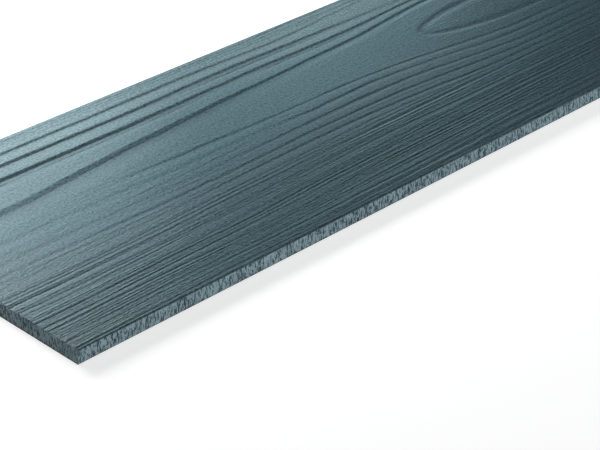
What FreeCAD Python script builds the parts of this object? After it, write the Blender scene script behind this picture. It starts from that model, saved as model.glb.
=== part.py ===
"""Fibre cement siding board: one flat plank of pressed fibre cement, lying on its back.

The section is a flat rectangle whose long edges are eased: rounded where the
press plate meets the face, and lightly bevelled along the back. Both ends are
square saw cuts. The cedar grain of the face is fine relief, under a millimetre
deep, so here the face is the plane that the tops of the grain lie on.

Frame, in millimetres: X runs along the plank, Y across it towards the edge that
the next course laps over, and Z out of the face. The origin is the middle of
the back.
"""

import FreeCAD
import Part
import math
import os

# Stock sizes of the plank
LENGTH = 3600.0
WIDTH = 180.0
THICKNESS = 8.0

# Easing of the long edges
FACE_EDGE_RADIUS = 0.8
BACK_EDGE_BEVEL = 0.5

OUT_FOLDER = "parts"
NODE = "siding_board"


def point(x, y, z):
    return FreeCAD.Vector(x, y, z)


def section_at(x):
    """Closed outline of the plank's section, in the plane at x."""
    side = WIDTH / 2
    shoulder = THICKNESS - FACE_EDGE_RADIUS
    face_half = side - FACE_EDGE_RADIUS
    back_half = side - BACK_EDGE_BEVEL
    arc_middle = FACE_EDGE_RADIUS * math.sqrt(0.5)

    def line(start, end):
        return Part.LineSegment(point(x, *start), point(x, *end)).toShape()

    def rounded_edge(sign, start, end):
        middle = (sign * (face_half + arc_middle), shoulder + arc_middle)
        return Part.Arc(point(x, *start), point(x, *middle), point(x, *end)).toShape()

    outline = [
        line((-back_half, 0), (back_half, 0)),
        line((back_half, 0), (side, BACK_EDGE_BEVEL)),
        line((side, BACK_EDGE_BEVEL), (side, shoulder)),
        rounded_edge(1, (side, shoulder), (face_half, THICKNESS)),
        line((face_half, THICKNESS), (-face_half, THICKNESS)),
        rounded_edge(-1, (-face_half, THICKNESS), (-side, shoulder)),
        line((-side, shoulder), (-side, BACK_EDGE_BEVEL)),
        line((-side, BACK_EDGE_BEVEL), (-back_half, 0)),
    ]
    return Part.Wire(outline)


def make_plank():
    """The section drawn out from one saw cut to the other."""
    saw_cut = Part.Face(section_at(-LENGTH / 2))
    return saw_cut.extrude(point(LENGTH, 0, 0))


def main():
    plank = make_plank()
    os.makedirs(OUT_FOLDER, exist_ok=True)
    plank.exportStep(os.path.join(OUT_FOLDER, NODE + ".step"))
    box = plank.BoundBox
    print(f"{NODE}: {box.XLength:.1f} x {box.YLength:.1f} x {box.ZLength:.1f} mm,"
          f" {plank.Volume / 1e6:.4f} litres, valid {plank.isValid()}")


main()
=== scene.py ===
"""Looks of a fibre cement siding board: pressed cedar grain under blue-grey satin paint.

The whole plank is one closed mesh. Its rows of points are stations along the
plank and its columns follow the grain, so that each pressed groove runs along
columns and stays crisp. Lengths are in millimetres from the near left corner
of the plank, X along it and Y across it, until they go into the mesh.
"""

import math

import bpy
import numpy as np
from mathutils import Matrix, Vector


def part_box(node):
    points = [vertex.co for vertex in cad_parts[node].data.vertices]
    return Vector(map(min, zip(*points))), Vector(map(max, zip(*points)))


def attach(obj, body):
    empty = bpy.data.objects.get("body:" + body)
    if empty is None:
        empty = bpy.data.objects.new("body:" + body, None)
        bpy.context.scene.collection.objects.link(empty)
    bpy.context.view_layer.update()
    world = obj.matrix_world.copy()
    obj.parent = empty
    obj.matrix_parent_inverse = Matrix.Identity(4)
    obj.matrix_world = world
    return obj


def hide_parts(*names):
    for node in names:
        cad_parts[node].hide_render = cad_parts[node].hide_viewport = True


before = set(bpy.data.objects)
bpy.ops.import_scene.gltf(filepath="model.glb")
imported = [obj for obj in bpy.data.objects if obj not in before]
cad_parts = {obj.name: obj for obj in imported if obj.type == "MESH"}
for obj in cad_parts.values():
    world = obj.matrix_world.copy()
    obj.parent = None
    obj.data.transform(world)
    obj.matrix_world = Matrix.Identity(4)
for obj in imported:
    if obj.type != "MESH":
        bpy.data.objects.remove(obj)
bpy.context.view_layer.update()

MM = 0.001
NODE = "siding_board"
BOARD_LOW, BOARD_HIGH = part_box(NODE)
LENGTH, WIDTH, THICKNESS = ((BOARD_HIGH - BOARD_LOW) / MM)[:]

# Easing of the long edges, as on the solid
FACE_EDGE_RADIUS = 0.8
BACK_EDGE_BEVEL = 0.5

# The photograph's camera, in its pixels
IMAGE_WIDTH, IMAGE_HEIGHT = 600, 450
FOCAL_PIXELS = 2012.4
CAMERA_HEADING = 45.0
CAMERA_PITCH = 30.0
NEAR_CORNER_PIXEL = (77.65, 349.77)
NEAR_CORNER_DEPTH = 0.862
SENSOR_WIDTH = 36.0

# A groove's label is its place across the plank, this far along it
REFERENCE = 210.0

# Bold grooves, read off the photograph. Each point of a route is along, across, depth,
# width of the wall and width of the floor
BOLD_LINES = (
    ((143, 166.5, 0.62, 1.6, 6), (173, 167.1, 0.64, 1.6, 6), (207, 167.7, 0.60, 1.6, 6),
     (233, 167.1, 0.55, 1.5, 5), (253, 166.0, 0.40, 1.5, 5), (273, 165.3, 0.40, 1.7, 5),
     (300, 166.0, 0.30, 1.5, 4), (320, 168.2, 0.18, 1.5, 4), (347, 170.2, 0.15, 1.6, 4)),
    ((130, 156.4, 0.80, 1.5, 8), (160, 156.1, 0.80, 1.5, 8), (187, 157.0, 0.78, 1.5, 8),
     (207, 157.8, 0.74, 1.5, 8), (247, 158.4, 0.72, 1.5, 8), (280, 157.3, 0.58, 1.5, 8),
     (313, 156.6, 0.45, 1.5, 7), (333, 155.9, 0.28, 1.6, 6), (360, 155.5, 0.18, 1.6, 6)),
    ((170, 154.4, 0.40, 2.2, 2.5), (187, 155.0, 0.60, 2.2, 2.5), (205, 155.3, 0.85, 2.2, 2.5),
     (250, 155.4, 0.88, 2.2, 2.5), (290, 155.0, 0.65, 2.2, 2.5), (320, 154.4, 0.35, 2.2, 2.5),
     (360, 153.4, 0.00, 2.2, 2.5)),
    ((120, 144.5, 0.95, 1.8, 8), (150, 144.6, 0.95, 1.8, 8), (187, 145.4, 0.80, 1.6, 8),
     (207, 146.1, 0.68, 1.5, 8), (227, 146.5, 0.64, 1.5, 8), (253, 147.0, 0.62, 1.5, 8),
     (287, 146.4, 0.55, 1.4, 8), (313, 146.5, 0.55, 1.5, 7), (337, 147.6, 0.52, 1.6, 5),
     (353, 149.0, 0.48, 1.6, 4), (373, 150.3, 0.48, 1.6, 4)),
    ((120, 141.7, 1.10, 2.0, 2.5), (150, 141.9, 1.05, 2.0, 2.5), (190, 142.7, 0.85, 2.0, 2.5),
     (225, 144.2, 0.40, 2.0, 2.5), (255, 144.6, 0.72, 2.0, 2.5), (300, 144.0, 0.65, 2.0, 2.5),
     (330, 145.2, 0.40, 2.0, 2.5), (350, 147.0, 0.00, 2.0, 2.5), (375, 148.4, 0.00, 2.0, 2.5)),
    ((60, 118.0, 0.75, 4.0, 14), (103, 123.0, 0.85, 3.7, 14), (133, 126.2, 0.92, 3.6, 14),
     (160, 128.2, 0.95, 3.5, 14), (200, 131.2, 0.80, 2.6, 14), (225, 132.3, 0.66, 2.1, 12),
     (247, 133.2, 0.56, 1.7, 10), (267, 134.6, 0.54, 1.5, 8), (300, 136.3, 0.54, 1.5, 6),
     (317, 137.0, 0.50, 1.5, 6), (343, 140.6, 0.46, 1.5, 5), (377, 144.6, 0.46, 1.5, 4)),
    ((95, 104.5, 0.00, 1.8, 4), (115, 103.3, 0.10, 1.8, 4), (130, 102.3, 0.25, 1.8, 4),
     (150, 101.6, 0.32, 2.0, 5), (173, 101.3, 0.38, 2.0, 5), (197, 99.9, 0.30, 1.5, 4),
     (215, 99.3, 0.22, 1.2, 3), (233, 98.9, 0.20, 1.1, 3), (267, 99.0, 0.25, 1.2, 3),
     (287, 98.0, 0.20, 1.1, 3), (313, 95.3, 0.18, 1.1, 3), (337, 92.0, 0.20, 1.1, 3),
     (363, 88.0, 0.24, 1.1, 3), (393, 85.0, 0.26, 1.3, 3)),
    ((77, 94.5, 0.16, 2.4, 5), (110, 93.3, 0.16, 2.4, 5), (133, 92.8, 0.16, 2.4, 5),
     (190, 92.3, 0.12, 2.4, 5), (215, 91.0, 0.16, 2.2, 5), (230, 90.1, 0.28, 1.6, 4),
     (253, 90.5, 0.30, 1.6, 4), (268, 91.4, 0.32, 1.6, 4), (287, 90.9, 0.22, 1.6, 4),
     (307, 88.8, 0.18, 1.5, 4), (327, 86.4, 0.16, 1.3, 3), (350, 82.8, 0.18, 1.2, 3),
     (370, 79.8, 0.20, 1.3, 3), (390, 78.5, 0.24, 1.5, 3)),
    ((167, 80.0, 0.10, 2.0, 4), (200, 80.8, 0.20, 1.8, 4), (233, 81.3, 0.26, 1.8, 4),
     (267, 82.0, 0.30, 1.8, 4), (300, 80.6, 0.20, 1.4, 3), (320, 78.0, 0.16, 1.2, 3),
     (350, 73.8, 0.16, 1.2, 3), (380, 70.5, 0.20, 1.2, 3)),
    ((55, 70.8, 0.10, 1.2, 3), (97, 70.0, 0.20, 1.2, 3), (123, 70.0, 0.20, 1.2, 3),
     (167, 71.0, 0.22, 1.2, 3), (200, 72.4, 0.22, 1.3, 3), (233, 72.9, 0.24, 1.4, 3),
     (267, 72.7, 0.24, 1.3, 3), (290, 71.8, 0.20, 1.2, 3), (320, 69.0, 0.19, 1.2, 3),
     (350, 66.0, 0.19, 1.2, 3), (375, 64.3, 0.20, 1.2, 3)),
    ((55, 62.9, 0.06, 1.5, 3), (110, 63.0, 0.08, 1.4, 3), (127, 63.3, 0.14, 1.3, 3),
     (147, 64.0, 0.18, 1.3, 3), (180, 65.0, 0.22, 1.3, 3), (207, 65.6, 0.24, 1.3, 3),
     (240, 65.9, 0.25, 1.3, 3), (267, 64.8, 0.20, 1.2, 3), (293, 63.5, 0.20, 1.2, 3),
     (320, 61.0, 0.25, 1.2, 3), (350, 59.0, 0.22, 1.2, 3)),
    ((40, 48.2, 0.42, 2.0, 2.5), (85, 49.0, 0.30, 2.0, 2.5), (110, 50.0, 0.18, 1.8, 2.5),
     (133, 50.8, 0.20, 1.8, 2.5), (180, 51.9, 0.24, 1.8, 2.5), (213, 53.0, 0.28, 1.8, 2.5),
     (267, 53.5, 0.33, 2.0, 2.5), (353, 54.0, 0.32, 1.8, 2.5)),
)

# Fine grooves, read off in the same way. Each point of a route is along, across and strength
FINE_LINES = (
    ((145, 176.6, 0.38), (220, 176.4, 0.38), (245, 176.1, 0.25), (283, 177.0, 0.38), (345, 177.6, 0.20)),
    ((150, 174.2, 0.28), (225, 174.1, 0.25), (290, 173.4, 0.18)),
    ((240, 171.2, 0.04), (260, 171.6, 0.20), (290, 171.3, 0.20), (318, 171.6, 0.20), (330, 172.5, 0.04)),
    ((90, 85.6, 0.06), (125, 84.6, 0.12), (160, 85.3, 0.08), (190, 87.6, 0.12), (212, 88.2, 0.08),
     (240, 86.6, 0.00), (267, 87.2, 0.00), (307, 84.6, 0.00), (350, 78.5, 0.00), (380, 75.0, 0.00)),
    ((60, 77.9, 0.08), (110, 76.6, 0.10), (140, 76.2, 0.10), (180, 76.6, 0.06), (267, 77.5, 0.00),
     (320, 74.0, 0.00), (380, 67.5, 0.00)),
    ((55, 66.0, 0.10), (110, 65.8, 0.10), (150, 66.8, 0.05), (200, 69.0, 0.06), (250, 69.2, 0.08),
     (290, 68.3, 0.08), (330, 65.0, 0.04), (350, 62.6, 0.00)),
    ((45, 53.8, 0.28), (70, 54.5, 0.25), (110, 55.8, 0.20), (140, 56.8, 0.25), (200, 58.3, 0.12),
     (253, 60.2, 0.20), (283, 60.0, 0.20), (320, 57.2, 0.35)),
    ((45, 51.8, 0.30), (80, 52.3, 0.30), (110, 53.2, 0.25), (135, 54.3, 0.30), (180, 55.0, 0.30),
     (213, 56.2, 0.25), (250, 56.7, 0.20), (330, 56.2, 0.35)),
    ((40, 45.4, 0.30), (100, 45.7, 0.25), (133, 46.7, 0.15), (180, 48.0, 0.25), (213, 49.9, 0.40),
     (240, 50.4, 0.40), (300, 50.0, 0.45), (350, 50.0, 0.35)),
    ((35, 43.1, 0.30), (100, 43.1, 0.30), (133, 44.5, 0.30), (180, 46.1, 0.30), (207, 47.5, 0.35),
     (253, 48.1, 0.35), (300, 47.8, 0.38), (350, 48.0, 0.35)),
    ((35, 40.9, 0.48), (67, 41.1, 0.45), (110, 41.5, 0.35), (153, 43.4, 0.35), (187, 44.8, 0.40),
     (213, 45.5, 0.40), (253, 46.0, 0.30), (300, 45.9, 0.38), (350, 45.1, 0.35)),
    ((35, 38.0, 0.20), (80, 39.0, 0.30), (110, 39.8, 0.20), (180, 41.8, 0.20), (213, 42.9, 0.30),
     (235, 43.8, 0.50), (270, 43.8, 0.50), (300, 43.1, 0.50), (345, 42.9, 0.45)),
    ((25, 31.9, 0.25), (67, 32.4, 0.30), (133, 34.0, 0.15), (180, 36.0, 0.15), (240, 37.8, 0.30),
     (267, 38.4, 0.40), (345, 38.8, 0.42)),
    ((25, 29.2, 0.50), (67, 30.0, 0.50), (100, 30.5, 0.40), (133, 30.4, 0.50), (150, 31.5, 0.50),
     (180, 33.2, 0.45), (213, 34.4, 0.40), (240, 34.8, 0.50), (267, 35.5, 0.45), (300, 35.5, 0.40),
     (340, 36.4, 0.50)),
    ((25, 27.0, 0.25), (67, 27.3, 0.20), (110, 28.0, 0.30), (150, 29.0, 0.20), (180, 30.8, 0.25),
     (213, 31.5, 0.35), (240, 32.5, 0.30), (300, 32.5, 0.30), (340, 33.4, 0.50)),
    ((20, 23.8, 0.50), (50, 24.5, 0.45), (90, 25.7, 0.30), (120, 26.0, 0.25), (170, 27.0, 0.15),
     (190, 28.5, 0.30), (215, 28.2, 0.20), (240, 28.3, 0.30), (267, 28.6, 0.45), (300, 28.9, 0.50),
     (330, 29.8, 0.50)),
    ((15, 20.3, 0.45), (50, 21.2, 0.45), (80, 21.0, 0.38), (127, 20.3, 0.32), (160, 20.7, 0.20),
     (180, 22.3, 0.15), (200, 24.0, 0.28), (215, 25.2, 0.35), (240, 25.8, 0.40), (267, 25.9, 0.42),
     (325, 26.5, 0.28)),
    ((15, 18.0, 0.20), (67, 19.0, 0.25), (100, 18.5, 0.25), (160, 19.0, 0.12), (180, 20.5, 0.12),
     (200, 22.3, 0.25), (215, 23.3, 0.30), (250, 23.3, 0.35), (325, 24.0, 0.35)),
    ((15, 16.3, 0.25), (67, 17.0, 0.25), (95, 16.5, 0.15), (160, 16.8, 0.10), (200, 20.0, 0.12),
     (220, 21.3, 0.20), (250, 21.0, 0.15), (300, 21.8, 0.25), (325, 21.5, 0.30)),
    ((10, 14.4, 0.25), (67, 15.2, 0.25), (95, 15.0, 0.15), (130, 14.6, 0.10), (200, 16.6, 0.12),
     (230, 17.5, 0.40), (250, 17.8, 0.35), (290, 18.5, 0.20), (320, 19.5, 0.25)),
    ((10, 12.4, 0.25), (67, 13.1, 0.30), (100, 12.8, 0.25), (130, 12.0, 0.25), (160, 13.4, 0.15),
     (185, 14.2, 0.12), (310, 17.2, 0.15)),
    ((8, 8.4, 0.40), (50, 9.3, 0.30), (90, 10.2, 0.15), (120, 9.4, 0.25), (160, 9.6, 0.12),
     (200, 10.0, 0.10), (240, 10.8, 0.25), (270, 11.3, 0.30), (310, 13.0, 0.40)),
    ((60, 6.0, 0.10), (130, 5.4, 0.20), (165, 4.9, 0.30), (200, 5.5, 0.35), (240, 7.3, 0.30),
     (300, 9.5, 0.30)),
    ((3, 1.7, 0.40), (40, 2.0, 0.30), (70, 2.9, 0.25), (100, 3.6, 0.25), (133, 3.2, 0.20),
     (200, 2.8, 0.15), (250, 2.2, 0.15), (290, 2.6, 0.30), (320, 3.4, 0.30)),
)

# Widths of a fine groove, and its depth at each strength
FINE_WALL = 0.9
FINE_FLOOR = 1.0
STRENGTHS = (0.0, 0.1, 0.6)
STRENGTH_DEPTHS = (0.0, 0.11, 0.32)

# The plain band between the bold grooves: the label of its middle, and half its width
HEART = 114.0
HEART_HALF = 17.0

# Cathedral loops along that middle, ring by ring inwards: start, end and half width
LOOP_RINGS = (
    ((346, 1080, 18.5), (1330, 2130, 17.0), (2330, 2900, 15.0), (3120, 4000, 19.0)),
    ((560, 930, 9.0), (1500, 1960, 9.0), (2480, 2790, 7.0), (3290, 3900, 9.0)),
    ((1620, 1830, 3.5),),
)

# The power of a loop's outline, the groove along it, and the farthest distance kept from it
LOOP_POWER = 10.0
LOOP_DEPTH = 0.26
LOOP_WALL = 3.5
LOOP_FLOOR = 8.0
LOOP_REACH = 20.0

# The section of a groove: how much of its fall is the steep wall, the height of the lip
# beside it as a share of the depth, and how far the lip reaches
WALL_SHARE = 0.8
LIP = 0.14
LIP_REACH = 2.5

# How far a groove wavers, and over what length
JOG = 0.12
JOG_LENGTH = 13.0

# First seeds of the bold and the fine grooves, and what is added for their wavering
BOLD_SEED = 100
FINE_SEED = 200
JOG_SEED = 50

# The grain is read from the photograph up to here, and drawn freely after it
SEEN_END = 450.0
FREE_START = 700.0

# In the free part a groove has a steady share of its usual depth, and a share that comes and goes
STEADY_DEPTH = 0.55
CHANGING_DEPTH = 0.45
CHANGING_LENGTH = 260.0

# Drifts of the free grain: size, length and seed, and how far from an edge they fade in
DRIFTS = ((5.0, 620.0, 7), (1.6, 190.0, 8))
DRIFT_MARGIN = 60.0

# How far the loops push the lines beside them, as a share of their width, how the push fades
# beyond the plain band, how far from an edge it fades in, and how it is rounded off
PUSH = 0.75
PUSH_FADE = 32.0
PUSH_MARGIN = 40.0
PUSH_ROUNDING = 14.0

# Curves along the plank are rounded off in steps of this length, this many to each side
SOFTEN_STEP = 3.0
SOFTEN_REACH = 10

# The length over which the corners of a route are rounded off
ROUTE_ROUNDING = 9.0

# Points of the mesh: stations along the plank, columns of the face and of the back, steps of a
# rounded edge, and heights of the points between an edge's corners
STATIONS = 340
FACE_COLUMNS = 264
BACK_COLUMNS = 7
ARC_STEPS = 3
WALL_POINTS = (5.4, 3.6, 1.9)

# How far the plain face lies below the solid's, which leaves room for the lips
FACE_LEVEL = 0.15

# How far in from its near and far edge the face's columns bend to run straight along them
NEAR_HOLD = 2.0
FAR_HOLD = 3.0

# Crowding of the stations, added where the photograph looks and at the tips of the loops
SEEN_CROWDING = 2.6
SEEN_CROWDING_END = (430.0, 640.0)
TIP_CROWDING = 1.3
TIP_INSET = 15.0
TIP_SPREAD = 35.0

# Crowding of the columns: everywhere, added in the plain band, and its spread round a groove
LEAST_CROWDING = 0.3
HEART_CROWDING = 0.35
GROOVE_SPREAD = 0.75

# Places at which a crowding is added up
CROWDING_SAMPLES = 8000

# Edges of the mesh that bend by more than this, in degrees, are shaded as sharp
SHARP_ANGLE = 42.0

# A flat map of the plank for baked pictures: the share of its height that half of each band gets,
# the gap between strips, and the size of the map of an end
MAP_HEIGHTS = {"face": 0.335, "far edge": 0.024, "back": 0.090, "near edge": 0.024}
MAP_GAP = 0.004
END_MAP = (0.45, 0.015)


def smooth_step(value, low, high):
    """0 up to low, rising smoothly to 1 from high on."""
    t = np.clip((value - low) / (high - low), 0.0, 1.0)
    return t * t * (3.0 - 2.0 * t)


def bell(value, middle, half):
    """1 at the middle, falling off to both sides."""
    return np.exp(-((value - middle) / half) ** 2)


def spread(start, end, count, crowding):
    """count places from start to end, closest together where crowding is largest."""
    fine = np.linspace(start, end, CROWDING_SAMPLES)
    weight = crowding(fine)
    total = np.concatenate(([0.0], np.cumsum((weight[1:] + weight[:-1]) / 2)))
    return np.interp(np.linspace(0.0, total[-1], count), total, fine)


def wander(x, seed, length):
    """A smooth random curve from -1 to 1 along x, the same on every run."""
    knots = np.random.default_rng(seed).uniform(-1.0, 1.0, int(LENGTH / length) + 3)
    place = x / length
    first = np.floor(place).astype(int)
    t = smooth_step(place - first, 0.0, 1.0)
    return knots[first] * (1.0 - t) + knots[first + 1] * t


class Groove:
    """A pressed groove: a steep wall on its far side and a floor that rises towards the near edge."""

    def __init__(self, route, seed):
        self.along, self.across, self.depth, self.wall, self.floor = np.array(route, float).T
        self.label = float(np.interp(REFERENCE, self.along, self.across))
        self.seed = seed

    def shift_at(self, x):
        """How far the groove has left its label, at each x."""
        path = soften(np.interp(x, self.along, self.across), x, ROUTE_ROUNDING)
        return path + JOG * wander(x, self.seed + JOG_SEED, JOG_LENGTH) - self.label

    def depth_at(self, x):
        seen = np.interp(x, self.along, self.depth)
        usual = float(self.depth.max())
        free = usual * (STEADY_DEPTH + CHANGING_DEPTH * wander(x, self.seed, CHANGING_LENGTH))
        return seen + (free - seen) * smooth_step(x, SEEN_END, FREE_START)

    def widths_at(self, x):
        return np.interp(x, self.along, self.wall), np.interp(x, self.along, self.floor)


def soften(values, x, rounding):
    """values, rounded off over about this length along x."""
    margin = 2 * SOFTEN_REACH * SOFTEN_STEP
    even = np.arange(-margin, LENGTH + margin, SOFTEN_STEP)
    held = np.interp(even, x, values)
    kernel = bell(np.arange(-SOFTEN_REACH, SOFTEN_REACH + 1) * SOFTEN_STEP, 0.0, rounding)
    rounded = np.convolve(np.pad(held, SOFTEN_REACH, mode="edge"), kernel / kernel.sum(), mode="valid")
    return np.interp(x, even, rounded)


def make_grooves():
    bold = [Groove(route, BOLD_SEED + i) for i, route in enumerate(BOLD_LINES)]
    fine = [Groove([fine_point(*point) for point in route], FINE_SEED + i)
            for i, route in enumerate(FINE_LINES)]
    return bold + fine


def fine_point(along, across, strength):
    return along, across, np.interp(strength, STRENGTHS, STRENGTH_DEPTHS), FINE_WALL, FINE_FLOOR


def loop_half_width(x, start, end, half):
    """Half the width of a cathedral loop at x, which is 0 beyond its tips."""
    offset = np.abs(2.0 * (x - start) / (end - start) - 1.0)
    return half * np.sqrt(np.clip(1.0 - offset ** LOOP_POWER, 0.0, None))


def push_at(x):
    """How far the loops part the lines on either side of the heart, at each x."""
    widest = np.zeros_like(x)
    for loop in LOOP_RINGS[0]:
        widest = np.maximum(widest, loop_half_width(x, *loop))
    return PUSH * soften(widest, x, PUSH_ROUNDING)


def seen_shifts(labels, x, grooves):
    """How far each label has left its place at each station, where the grooves are read off."""
    order = sorted(grooves, key=lambda groove: groove.label)
    knots = np.array([0.0] + [groove.label for groove in order] + [WIDTH])
    still = np.zeros_like(x)
    shifts = np.array([still] + [groove.shift_at(x) for groove in order] + [still])
    return np.array([np.interp(labels, knots, shifts[:, i]) for i in range(len(x))])


def free_shifts(labels, x):
    """The same where the grain is drawn freely: it drifts, and the loops push it aside."""
    offset = labels - HEART
    beyond = np.clip(np.abs(offset) - HEART_HALF, 0.0, None)
    margin = np.minimum(labels, WIDTH - labels)
    share = np.clip(np.abs(offset) / HEART_HALF, 0.0, 1.0) * np.exp(-beyond / PUSH_FADE) * np.sign(offset)
    share = share * smooth_step(margin, 0.0, PUSH_MARGIN)
    drift = sum(size * wander(x, seed, length) for size, length, seed in DRIFTS)
    return push_at(x)[:, None] * share + drift[:, None] * smooth_step(margin, 0.0, DRIFT_MARGIN)


def flow(labels, x, grooves):
    """Y of each label at each station: how the grain runs along the plank."""
    blend = smooth_step(x, SEEN_END, FREE_START)[:, None]
    return labels + seen_shifts(labels, x, grooves) * (1.0 - blend) + free_shifts(labels, x) * blend


def groove_section(offset, wall, floor):
    """A groove and its lip, as shares of its depth, at an offset from the middle of its wall.

    The wall falls away sharply from the far side, eases off past its foot, and the
    floor then rises towards the near edge.
    """
    inward = 0.5 - offset / wall
    fall = WALL_SHARE * np.clip(inward, 0.0, 1.0) + (1.0 - WALL_SHARE) * smooth_step(inward, 0.0, 2.0)
    rise = 1.0 - smooth_step((inward - 1.0) * wall, 0.0, floor)
    lip = np.where(inward < 0.0, np.exp(inward * wall / LIP_REACH), np.clip(1.0 - inward, 0.0, 1.0))
    return fall * rise - LIP * lip


def loop_distance(x, y, start, end, half):
    """About how far a point lies outside a loop's line, and inside if negative."""
    span = (end - start) / 2.0
    along = (x - start) / span - 1.0
    level = (y / half) ** 2 + np.abs(along) ** LOOP_POWER - 1.0
    slope_y = 2.0 * y / half ** 2
    slope_x = LOOP_POWER * np.abs(along) ** (LOOP_POWER - 1.0) / span
    return level / np.maximum(np.hypot(slope_x, slope_y), 1e-3)


def ring_distances(labels, x, y):
    """About how far each point lies outside the nearest loop of each ring, and inside if negative."""
    heart = np.array([np.interp(HEART, labels, row) for row in y])[:, None]
    rings = [
        np.min([loop_distance(x[:, None], y - heart, *loop) for loop in ring], axis=0)
        for ring in LOOP_RINGS
    ]
    return np.clip(rings, -LOOP_REACH, LOOP_REACH)


def relief(labels, x, y, grooves, rings):
    """How deep the face is pressed in, at each station and column."""
    depth = np.zeros_like(y)
    for groove in grooves:
        line = groove_line(groove, labels, x, y)
        wall, floor = groove.widths_at(x)
        section = groove_section(y - line[:, None], wall[:, None], floor[:, None])
        depth = deeper(depth, groove.depth_at(x)[:, None] * section)
    for outside in rings:
        depth = deeper(depth, LOOP_DEPTH * groove_section(outside, LOOP_WALL, LOOP_FLOOR))
    return depth


def deeper(first, second):
    """The deeper of two reliefs, or the higher lip where neither is pressed in."""
    return np.where(np.maximum(first, second) > 0.0, np.maximum(first, second), np.minimum(first, second))


def groove_line(groove, labels, x, y):
    """Y of the middle of a groove's wall at each station."""
    return np.array([np.interp(groove.label, labels, row) for row in y])


def station_crowding(x):
    """Stations crowd where the photograph looks, and at the tips of the loops."""
    weight = 1.0 + SEEN_CROWDING * (1.0 - smooth_step(x, *SEEN_CROWDING_END))
    for start, end, _ in sum(LOOP_RINGS, ()):
        for tip in (start + TIP_INSET, end - TIP_INSET):
            weight = weight + TIP_CROWDING * bell(x, tip, TIP_SPREAD)
    return weight


def column_crowding(grooves):
    """The rule by which columns crowd at the grooves, and a little in the plain band."""
    def weight(label):
        total = LEAST_CROWDING + HEART_CROWDING * bell(label, HEART, HEART_HALF)
        for groove in grooves:
            total = total + bell(label, groove.label, GROOVE_SPREAD * groove.wall.max())
        return total
    return weight


def rounded_corner(y_middle, z_middle, start, steps):
    """Points of a quarter circle, without its first point. Angles are from +Y towards +Z."""
    angles = np.radians(start) - np.linspace(0.0, math.pi / 2, steps + 1)[1:]
    return [(y_middle + FACE_EDGE_RADIUS * math.cos(a), z_middle + FACE_EDGE_RADIUS * math.sin(a))
            for a in angles]


def outline_after_face():
    """The section from the face's far side round the back to its near side, as (y, z, kind)."""
    shoulder = THICKNESS - FACE_EDGE_RADIUS
    far_arc = rounded_corner(WIDTH - FACE_EDGE_RADIUS, shoulder, 90.0, ARC_STEPS)
    points = [(y, z, "face") for y, z in far_arc]
    points += [(WIDTH, z, "edge") for z in WALL_POINTS]
    points += [(WIDTH, BACK_EDGE_BEVEL, "edge")]
    back = np.linspace(WIDTH - BACK_EDGE_BEVEL, BACK_EDGE_BEVEL, BACK_COLUMNS)
    points += [(y, 0.0, "back") for y in back[:-1]]
    points += [(back[-1], 0.0, "edge"), (0.0, BACK_EDGE_BEVEL, "edge")]
    points += [(0.0, z, "edge") for z in WALL_POINTS[::-1]]
    points += [(0.0, shoulder, "edge")]
    near_arc = rounded_corner(FACE_EDGE_RADIUS, shoulder, 180.0, ARC_STEPS)
    points += [(y, z, "face") for y, z in near_arc[:-1]]
    return points


def hold_edges(y, labels):
    """Y of each point of the face, with its outermost columns straight along its two edges."""
    near = 1.0 - smooth_step(labels, labels[0], NEAR_HOLD)
    far = smooth_step(labels, WIDTH - FAR_HOLD, labels[-1])
    held = y + (labels[0] - y[:, :1]) * near
    return held + (labels[-1] - held[:, -1:]) * far


def make_board():
    """The plank as one closed mesh, with its grain coordinates and depth on its points."""
    grooves = make_grooves()
    x = spread(0.0, LENGTH, STATIONS, station_crowding)
    labels = spread(FACE_EDGE_RADIUS, WIDTH - FACE_EDGE_RADIUS, FACE_COLUMNS, column_crowding(grooves))
    y = hold_edges(flow(labels, x, grooves), labels)
    ring_places = ring_distances(labels, x, y)
    depth = relief(labels, x, y, grooves, ring_places)

    rest = outline_after_face()
    count = FACE_COLUMNS + len(rest)
    points = np.zeros((STATIONS, count, 3))
    points[:, :, 0] = x[:, None]
    points[:, :FACE_COLUMNS, 1] = y
    points[:, :FACE_COLUMNS, 2] = THICKNESS - FACE_LEVEL - depth
    for column, (across, up, _) in enumerate(rest, FACE_COLUMNS):
        beside = depth[:, -1] if across > WIDTH / 2 else depth[:, 0]
        share = max(0.0, (up - THICKNESS + FACE_EDGE_RADIUS) / FACE_EDGE_RADIUS)
        points[:, column, 1] = across
        points[:, column, 2] = up - (FACE_LEVEL + beside) * share

    grain = np.zeros((STATIONS, count, 3))
    grain[:, :, 0] = x[:, None]
    grain[:, :, 1] = np.concatenate([labels, [across for across, _, _ in rest]])
    rings = np.full((STATIONS, count, 3), LOOP_REACH)
    rings[:, :FACE_COLUMNS] = np.moveaxis(ring_places, 0, -1)
    pressed = np.zeros((STATIONS, count))
    pressed[:, :FACE_COLUMNS] = depth
    kinds = ["face"] * (FACE_COLUMNS - 1) + [kind for _, _, kind in rest] + ["face"]
    board = closed_mesh(points, {"grain": grain, "rings": rings}, pressed, kinds)
    lay_out_map(board.data, x, labels, rest)
    return board


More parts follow.
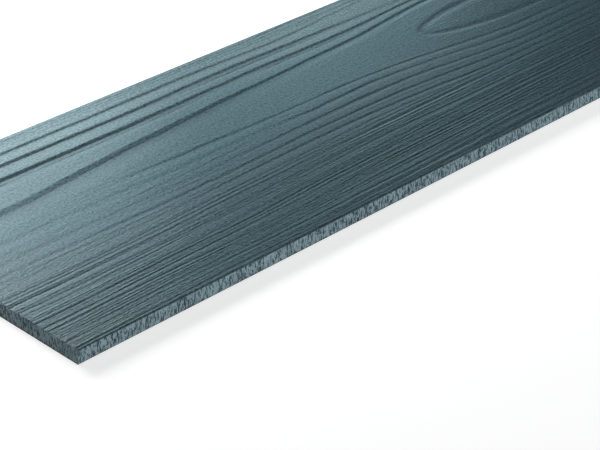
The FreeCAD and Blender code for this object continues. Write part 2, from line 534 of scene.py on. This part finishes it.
def lay_out_map(mesh, x, labels, rest):
    """Lays the plank out flat on its map: two strips for each band, one per half, then the ends."""
    places = [(y, THICKNESS) for y in labels] + [(y, z) for y, z, _ in rest] + [(labels[0], THICKNESS)]
    around = np.concatenate(([0.0], np.cumsum(np.hypot(*np.diff(places, axis=0).T))))
    back_start = FACE_COLUMNS + [z for _, z, _ in rest].index(0.0)
    limits = [0, FACE_COLUMNS - 1, back_start, back_start + BACK_COLUMNS - 1, len(around) - 1]
    middle = int(np.searchsorted(x, LENGTH / 2))
    halves = ((0, middle), (middle, len(x) - 1))
    uv = np.zeros((len(x) - 1, len(around) - 1, 4, 2))
    top = MAP_GAP
    for height, first, last in zip(MAP_HEIGHTS.values(), limits, limits[1:]):
        across = (around[first:last + 1] - around[first]) / (around[last] - around[first])
        for start, end in halves:
            along = MAP_GAP + (1 - 2 * MAP_GAP) * (x[start:end + 1] - x[start]) / (x[end] - x[start])
            u, v = np.meshgrid(along, top + height * across, indexing="ij")
            corners = np.stack([u, v], -1)
            quads = [corners[:-1, :-1], corners[1:, :-1], corners[1:, 1:], corners[:-1, 1:]]
            uv[start:end, first:last] = np.stack(quads, 2)
            top += height + MAP_GAP
    section = np.array(places[:-1]) / (WIDTH, THICKNESS) * END_MAP + (MAP_GAP, top)
    ends = [section * (-1, 1) + (0.5, 0.0), section[::-1] + (0.5, 0.0)]
    layer = mesh.uv_layers.new(name="OFBake")
    layer.data.foreach_set("uv", np.concatenate([uv.reshape(-1, 2), *ends]).ravel())


def closed_mesh(points, vectors, pressed, kinds):
    """A tube of quads through the rows of points, closed by a flat face at each end."""
    rows, count, _ = points.shape
    index = np.arange(rows * count).reshape(rows, count)
    here, there = index[:-1], index[1:]
    quads = np.stack([here, there, np.roll(there, -1, 1), np.roll(here, -1, 1)], -1).reshape(-1, 4)
    faces = quads.tolist() + [index[0].tolist(), index[-1][::-1].tolist()]

    mesh = bpy.data.meshes.new("board")
    places = np.array(BOARD_LOW) + points.reshape(-1, 3) * MM
    mesh.from_pydata(places.tolist(), [], faces)
    slots = ["face", "edge", "back"]
    per_row = [slots.index(kind) for kind in kinds]
    material = np.concatenate([np.tile(per_row, rows - 1), [1, 1]]).astype(np.int32)
    mesh.polygons.foreach_set("material_index", material)
    for name, vector in vectors.items():
        mesh.attributes.new(name, "FLOAT_VECTOR", "POINT").data.foreach_set(
            "vector", vector.reshape(-1).astype(np.float32))
    mesh.attributes.new("pressed", "FLOAT", "POINT").data.foreach_set(
        "value", pressed.reshape(-1).astype(np.float32))
    mesh.shade_smooth()
    mesh.set_sharp_from_angle(angle=math.radians(SHARP_ANGLE))
    mesh.validate()
    mesh.update()
    board = bpy.data.objects.new("board", mesh)
    bpy.context.scene.collection.objects.link(board)
    return board


class Shader:
    """Short calls that build one material's nodes."""

    def __init__(self, name):
        self.material = bpy.data.materials.new(name)
        self.material.use_nodes = True
        self.tree = self.material.node_tree
        self.surface = self.tree.nodes["Principled BSDF"]

    def node(self, kind, inputs=(), **settings):
        made = self.tree.nodes.new(kind)
        for name, value in settings.items():
            setattr(made, name, value)
        for name, value in dict(inputs).items():
            self.put(made.inputs[name], value)
        return made

    def put(self, socket, value):
        if isinstance(value, bpy.types.NodeSocket):
            self.tree.links.new(value, socket)
        else:
            socket.default_value = value

    def math(self, operation, first, second=0.0):
        made = self.tree.nodes.new("ShaderNodeMath")
        made.operation = operation
        self.put(made.inputs[0], first)
        self.put(made.inputs[1], second)
        return made.outputs[0]

    def total(self, *values):
        result = values[0]
        for value in values[1:]:
            result = self.math("ADD", result, value)
        return result

    def product(self, *values):
        result = values[0]
        for value in values[1:]:
            result = self.math("MULTIPLY", result, value)
        return result

    def scaled(self, vector, scale, offset=(0.0, 0.0, 0.0)):
        made = self.node("ShaderNodeMapping", {"Vector": vector, "Scale": scale, "Location": offset})
        return made.outputs["Vector"]

    def noise(self, vector, sizes, offset=(0.0, 0.0, 0.0), detail=2.0, roughness=0.5, distortion=0.0):
        """Noise about 0, from -1 to 1, whose lumps have about these sizes along the axes of vector."""
        made = self.node("ShaderNodeTexNoise", {
            "Vector": self.scaled(vector, [1.0 / size for size in sizes], offset), "Scale": 1.0,
            "Detail": detail, "Roughness": roughness, "Distortion": distortion})
        return self.product(self.math("SUBTRACT", made.outputs["Fac"], 0.5), 2.0)

    def part(self, vector, axis):
        return self.node("ShaderNodeSeparateXYZ", {"Vector": vector}).outputs[axis]

    def remap(self, value, low, high, to_low, to_high, smooth=False):
        made = self.node("ShaderNodeMapRange", {
            "Value": value, "From Min": low, "From Max": high, "To Min": to_low, "To Max": to_high})
        made.interpolation_type = "SMOOTHSTEP" if smooth else "LINEAR"
        return made.outputs["Result"]

    def rise(self, value, low, high):
        """0 at low, rising smoothly to 1 at high."""
        return self.remap(value, low, high, 0.0, 1.0, smooth=True)

    def mix(self, share, first, second):
        made = self.node("ShaderNodeMix", data_type="RGBA")
        self.put(made.inputs["Factor"], share)
        self.put(made.inputs[6], first)
        self.put(made.inputs[7], second)
        return made.outputs[2]

    def brighten(self, colour, factor):
        """A colour times a factor."""
        made = self.node("ShaderNodeVectorMath", operation="SCALE")
        self.put(made.inputs[0], colour)
        self.put(made.inputs["Scale"], factor)
        return made.outputs[0]

    def bump(self, height_mm):
        return self.node("ShaderNodeBump", {"Height": height_mm, "Distance": MM}).outputs["Normal"]


# Colours in linear light: the face, the face towards its far edge with a painted highlight, the tint of
# its sheen, the sawn edge and its pits darkened with painted shade, and the bare cement and its fibres
PAINT = (0.0500, 0.0895, 0.1085)
PAINT_WITH_PAINTED_HIGHLIGHT = (0.0850, 0.1285, 0.1425)
SHEEN_TINT = (0.60, 0.92, 1.0)
PAINT_EDGE = (0.30, 0.44, 0.49)
PAINT_PIT_PAINTED_SHADE = (0.025, 0.062, 0.080)
CEMENT = (0.33, 0.33, 0.31)
CEMENT_FIBRE = (0.42, 0.41, 0.37)

# Zones across the face, from where each starts to where it is full: of fine threads, of painted
# shade towards the near edge and of painted highlight towards the far edge
FINE_ZONE = (64.0, 50.0)
PAINTED_SHADE_ZONE = (100.0, 15.0)
PAINTED_HIGHLIGHT_ZONE = (125.0, 165.0)
PAINTED_SHADE_ZONE_FACTOR = 0.84

# Areas of painted shade on the face: middle along and across, half length, half width and shade
PAINTED_SHADE_AREAS = (
    (265.0, 77.0, 130.0, 32.0, 0.81),
    (215.0, 30.0, 150.0, 85.0, 0.75),
    (310.0, 95.0, 90.0, 40.0, 0.90),
)

# Painted shade of a groove at this depth, and painted shade and height of the band just inside a loop's
# line
HOLLOW_DEPTH = 0.8
HOLLOW_PAINTED_SHADE = 0.80
ARCH_PAINTED_SHADE = 0.85
ARCH_HEIGHT = -0.16
ARCH_INNER = (-8.0, -1.5)
ARCH_OUTER = (-1.5, 1.5)


def arch_band(s, outside):
    """1 just inside a loop's line, fading inwards, and 0 outside it."""
    return s.product(s.rise(outside, *ARCH_INNER), s.remap(outside, *ARCH_OUTER, 1.0, 0.0, smooth=True))


def painted_shade_area(s, grain, along, across, half_length, half_width, shade):
    """The painted shade at the middle of an ellipse, rising to 1 at its rim and beyond."""
    scale = (1 / half_length, 1 / half_width, 1.0)
    offset = (-along / half_length, -across / half_width, 0.0)
    place = s.scaled(grain, scale, offset)
    outward = s.node("ShaderNodeVectorMath", {"Vector": place}, operation="LENGTH").outputs["Value"]
    return s.remap(outward, 0.0, 1.0, shade, 1.0, smooth=True)


def face_paint():
    """Satin paint over the pressed face, with streaks and threads that follow the grain, painted shade in
    its grooves, inside its loops and towards its near edge, and a painted highlight towards its far edge.
    """
    s = Shader("painted_face")
    place = s.node("ShaderNodeTexCoord").outputs["Object"]
    grain = s.node("ShaderNodeAttribute", attribute_name="grain").outputs["Vector"]
    rings = s.node("ShaderNodeAttribute", attribute_name="rings").outputs["Vector"]
    pressed = s.node("ShaderNodeAttribute", attribute_name="pressed").outputs["Fac"]
    across = s.part(grain, "Y")
    fine_zone = s.rise(across, *FINE_ZONE)
    arches = s.total(*[arch_band(s, s.part(rings, axis)) for axis in "XYZ"])

    # Lumps are measured in millimetres in the grain, and in metres in place
    streaks = s.noise(grain, (16.0, 0.9, 1.0))
    threads = s.noise(grain, (90.0, 1.5, 1.0), (3.0, 7.0, 0.0), detail=1.0)
    clouds = s.noise(grain, (60.0, 22.0, 1.0))
    mottle = s.noise(place, (0.0022, 0.0018, 1.0), roughness=0.6)
    grit = s.noise(place, (0.0013, 0.0012, 1.0), (5.0, 1.0, 0.0), detail=1.0)
    height = s.total(
        s.product(streaks, s.remap(fine_zone, 0.0, 1.0, 0.07, 0.11)),
        s.product(threads, s.remap(fine_zone, 0.0, 1.0, 0.04, 0.17)),
        s.product(mottle, 0.06),
        s.product(grit, 0.10),
        s.product(arches, ARCH_HEIGHT))

    texture = s.total(
        1.0,
        s.product(clouds, 0.10),
        s.product(mottle, 0.95),
        s.product(grit, 1.15),
        s.product(threads, s.remap(fine_zone, 0.0, 1.0, 0.03, 0.14)))
    # Painted shade: darker in the grooves, inside the loops, towards the near edge and in a few areas
    shade = s.product(
        texture,
        s.remap(pressed, 0.0, HOLLOW_DEPTH, 1.0, HOLLOW_PAINTED_SHADE),
        s.remap(arches, 0.0, 1.0, 1.0, ARCH_PAINTED_SHADE),
        s.remap(across, *PAINTED_SHADE_ZONE, 1.0, PAINTED_SHADE_ZONE_FACTOR, smooth=True),
        *[painted_shade_area(s, grain, *area) for area in PAINTED_SHADE_AREAS])
    # Painted highlight: the paint turns paler towards the far edge
    paint = s.mix(s.rise(across, *PAINTED_HIGHLIGHT_ZONE), (*PAINT, 1.0), (*PAINT_WITH_PAINTED_HIGHLIGHT, 1.0))
    s.put(s.surface.inputs["Base Color"], s.brighten(paint, shade))
    s.put(s.surface.inputs["Roughness"], s.remap(s.total(mottle, clouds), -0.6, 0.6, 0.35, 0.43))
    s.put(s.surface.inputs["Specular Tint"], (*SHEEN_TINT, 1.0))
    s.put(s.surface.inputs["Normal"], s.bump(height))
    return s.material


def edge_paint():
    """Paint over a sawn edge, where the layers of fibre leave short strokes and pits, with painted shade
    in the pits and along its foot.
    """
    s = Shader("painted_edge")
    place = s.node("ShaderNodeTexCoord").outputs["Object"]
    strokes = s.noise(place, (0.0007, 0.0007, 0.0026), roughness=0.6, distortion=0.5)
    grit = s.noise(place, (0.0006, 0.0006, 0.0009))
    clumps = s.noise(place, (0.014, 0.014, 0.03), detail=1.0)
    rough = s.total(strokes, s.product(clumps, 0.12), s.product(grit, 0.25))
    raised = s.rise(rough, -0.26, 0.14)
    # Painted shade along the lowest millimetre of the edge
    underside_painted_shade = s.remap(s.part(place, "Z"), 0.0002, 0.0012, 0.35, 1.0, smooth=True)
    height = s.total(s.product(raised, 0.20), s.product(grit, 0.06))
    shade = s.product(underside_painted_shade, s.total(1.0, s.product(grit, 0.30)))
    # The pits take a darker colour, painted shade in them
    colour = s.brighten(s.mix(raised, (*PAINT_PIT_PAINTED_SHADE, 1.0), (*PAINT_EDGE, 1.0)), shade)
    s.put(s.surface.inputs["Base Color"], colour)
    s.put(s.surface.inputs["Roughness"], s.remap(raised, 0.0, 1.0, 0.85, 0.6))
    s.put(s.surface.inputs["Normal"], s.bump(height))
    return s.material


def cement_back():
    """Bare cement back with felt marks, fibres and a little paint that has crept round its edges."""
    s = Shader("cement_back")
    place = s.node("ShaderNodeTexCoord").outputs["Object"]
    felt = s.noise(place, (0.0018, 0.0012, 1.0), detail=3.0, roughness=0.6)
    fibres = s.noise(place, (0.009, 0.0009, 1.0), distortion=1.2)
    clouds = s.noise(place, (0.14, 0.07, 1.0), detail=3.0)
    height = s.total(s.product(felt, 0.10), s.product(fibres, 0.05))
    shade = s.total(1.0, s.product(clouds, 0.16), s.product(felt, 0.12))
    fibre_share = s.remap(fibres, 0.15, 0.45, 0.0, 0.7, smooth=True)
    bare = s.mix(fibre_share, s.brighten(CEMENT, shade), (*CEMENT_FIBRE, 1.0))
    half = WIDTH / 2 * MM
    outward = s.total(s.math("ABSOLUTE", s.part(place, "Y")), s.product(clouds, 0.004))
    creep = s.remap(outward, half - 0.004, half - 0.001, 0.0, 0.85, smooth=True)
    s.put(s.surface.inputs["Base Color"], s.mix(creep, bare, (*PAINT_EDGE, 1.0)))
    s.put(s.surface.inputs["Roughness"], s.remap(felt, -0.5, 0.5, 0.82, 0.95))
    s.put(s.surface.inputs["Normal"], s.bump(height))
    return s.material


def dress_board(board):
    for material in (face_paint(), edge_paint(), cement_back()):
        board.data.materials.append(material)
    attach(board, "root")
    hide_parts(NODE)


def camera_axes():
    """Unit vectors forward, right and down of the photograph's camera."""
    heading, pitch = math.radians(CAMERA_HEADING), math.radians(CAMERA_PITCH)
    flat = Vector((math.cos(heading), math.sin(heading), 0.0))
    forward = flat * math.cos(pitch) - Vector((0.0, 0.0, math.sin(pitch)))
    right = Vector((math.sin(heading), -math.cos(heading), 0.0))
    return forward, right, forward.cross(right)


def make_camera():
    """The photograph's camera, set so that the near top corner falls on its own pixel."""
    forward, right, down = camera_axes()
    corner = Vector((BOARD_LOW.x, BOARD_LOW.y, BOARD_HIGH.z))
    aside = (NEAR_CORNER_PIXEL[0] - IMAGE_WIDTH / 2) / FOCAL_PIXELS
    below = (NEAR_CORNER_PIXEL[1] - IMAGE_HEIGHT / 2) / FOCAL_PIXELS
    data = bpy.data.cameras.new("camera")
    data.sensor_width = SENSOR_WIDTH
    data.lens = FOCAL_PIXELS * SENSOR_WIDTH / IMAGE_WIDTH
    camera = bpy.data.objects.new("camera", data)
    camera.location = corner - NEAR_CORNER_DEPTH * (forward + aside * right + below * down)
    camera.rotation_euler = Matrix((right, -down, -forward)).transposed().to_euler()
    bpy.context.scene.collection.objects.link(camera)
    bpy.context.scene.camera = camera


WHITE = (1.0, 1.0, 1.0)

# A floor just under the back, in metres, and the share of its white that is for the camera alone
FLOOR_HALF = 30.0
FLOOR_DROP = 0.0002
FLOOR_COLOUR = (0.55, 0.55, 0.55)
FLOOR_GLOW = 0.68


def make_floor():
    """A plain white floor under the board. Part of its white is for the camera alone."""
    corners = [(-FLOOR_HALF, -FLOOR_HALF), (FLOOR_HALF, -FLOOR_HALF),
               (FLOOR_HALF, FLOOR_HALF), (-FLOOR_HALF, FLOOR_HALF)]
    mesh = bpy.data.meshes.new("floor")
    mesh.from_pydata([(x, y, BOARD_LOW.z - FLOOR_DROP) for x, y in corners], [], [(0, 1, 2, 3)])
    floor = bpy.data.objects.new("floor", mesh)
    bpy.context.scene.collection.objects.link(floor)
    s = Shader("floor")
    rays = s.node("ShaderNodeLightPath").outputs
    seen = s.total(rays["Is Camera Ray"], rays["Is Glossy Ray"], rays["Is Transmission Ray"])
    s.put(s.surface.inputs["Base Color"], (*FLOOR_COLOUR, 1.0))
    s.put(s.surface.inputs["Emission Color"], (*WHITE, 1.0))
    s.put(s.surface.inputs["Emission Strength"], s.product(seen, FLOOR_GLOW))
    s.put(s.surface.inputs["Roughness"], 0.95)
    s.put(s.surface.inputs["Specular IOR Level"], 0.0)
    mesh.materials.append(s.material)


# Middles along the plank of the part that the photograph shows and of the rest
SEEN_MIDDLE = 250.0
REST_MIDDLE = 2500.0

# Strength of the plain white world
WORLD_LEVEL = 0.04


def on_face(along):
    """The middle of the face's width, this far along the plank."""
    return Vector(BOARD_LOW) + Vector((along, WIDTH / 2, THICKNESS)) * MM


def soft_light(name, heading, height, distance, size, level, colour=WHITE, aim=SEEN_MIDDLE):
    """A softbox aimed at the face, this far off in metres, by its heading and height in degrees.

    Its level is how bright a white surface facing it looks there, if the softbox is small.
    """
    heading, height = math.radians(heading), math.radians(height)
    aside = Vector((math.cos(heading), math.sin(heading), 0.0))
    towards = aside * math.cos(height) + Vector((0.0, 0.0, math.sin(height)))
    data = bpy.data.lights.new(name, "AREA")
    data.shape = "RECTANGLE"
    data.size, data.size_y = size
    data.energy = level * (math.pi * distance) ** 2
    data.color = colour
    light = bpy.data.objects.new(name, data)
    light.location = on_face(aim) + towards * distance
    light.rotation_euler = towards.to_track_quat("Z", "Y").to_euler()
    light.visible_camera = False
    bpy.context.scene.collection.objects.link(light)


def make_lights():
    soft_light("key", 120.0, 28.0, 0.41, (0.20, 0.20), 1.60)
    soft_light("side key", 90.0, 28.0, 0.33, (0.20, 0.20), 0.36, (0.82, 0.98, 1.0))
    soft_light("far key", 115.0, 30.0, 7.0, (3.0, 3.0), 0.15)
    soft_light("sheen", 45.0, 12.0, 0.8, (0.25, 0.25), 0.068, (0.68, 0.96, 1.0))
    soft_light("front", -100.0, 9.0, 1.4, (0.35, 0.35), 0.31)
    soft_light("rest", -90.0, 38.0, 1.1, (2.4, 0.3), 2.6, aim=REST_MIDDLE)
    world = bpy.data.worlds.new("studio")
    world.use_nodes = True
    background = world.node_tree.nodes["Background"]
    background.inputs["Color"].default_value = (*WHITE, 1.0)
    background.inputs["Strength"].default_value = WORLD_LEVEL
    bpy.context.scene.world = world


make_camera()
dress_board(make_board())
make_floor()
make_lights()
bpy.context.scene.view_settings.view_transform = "Standard"
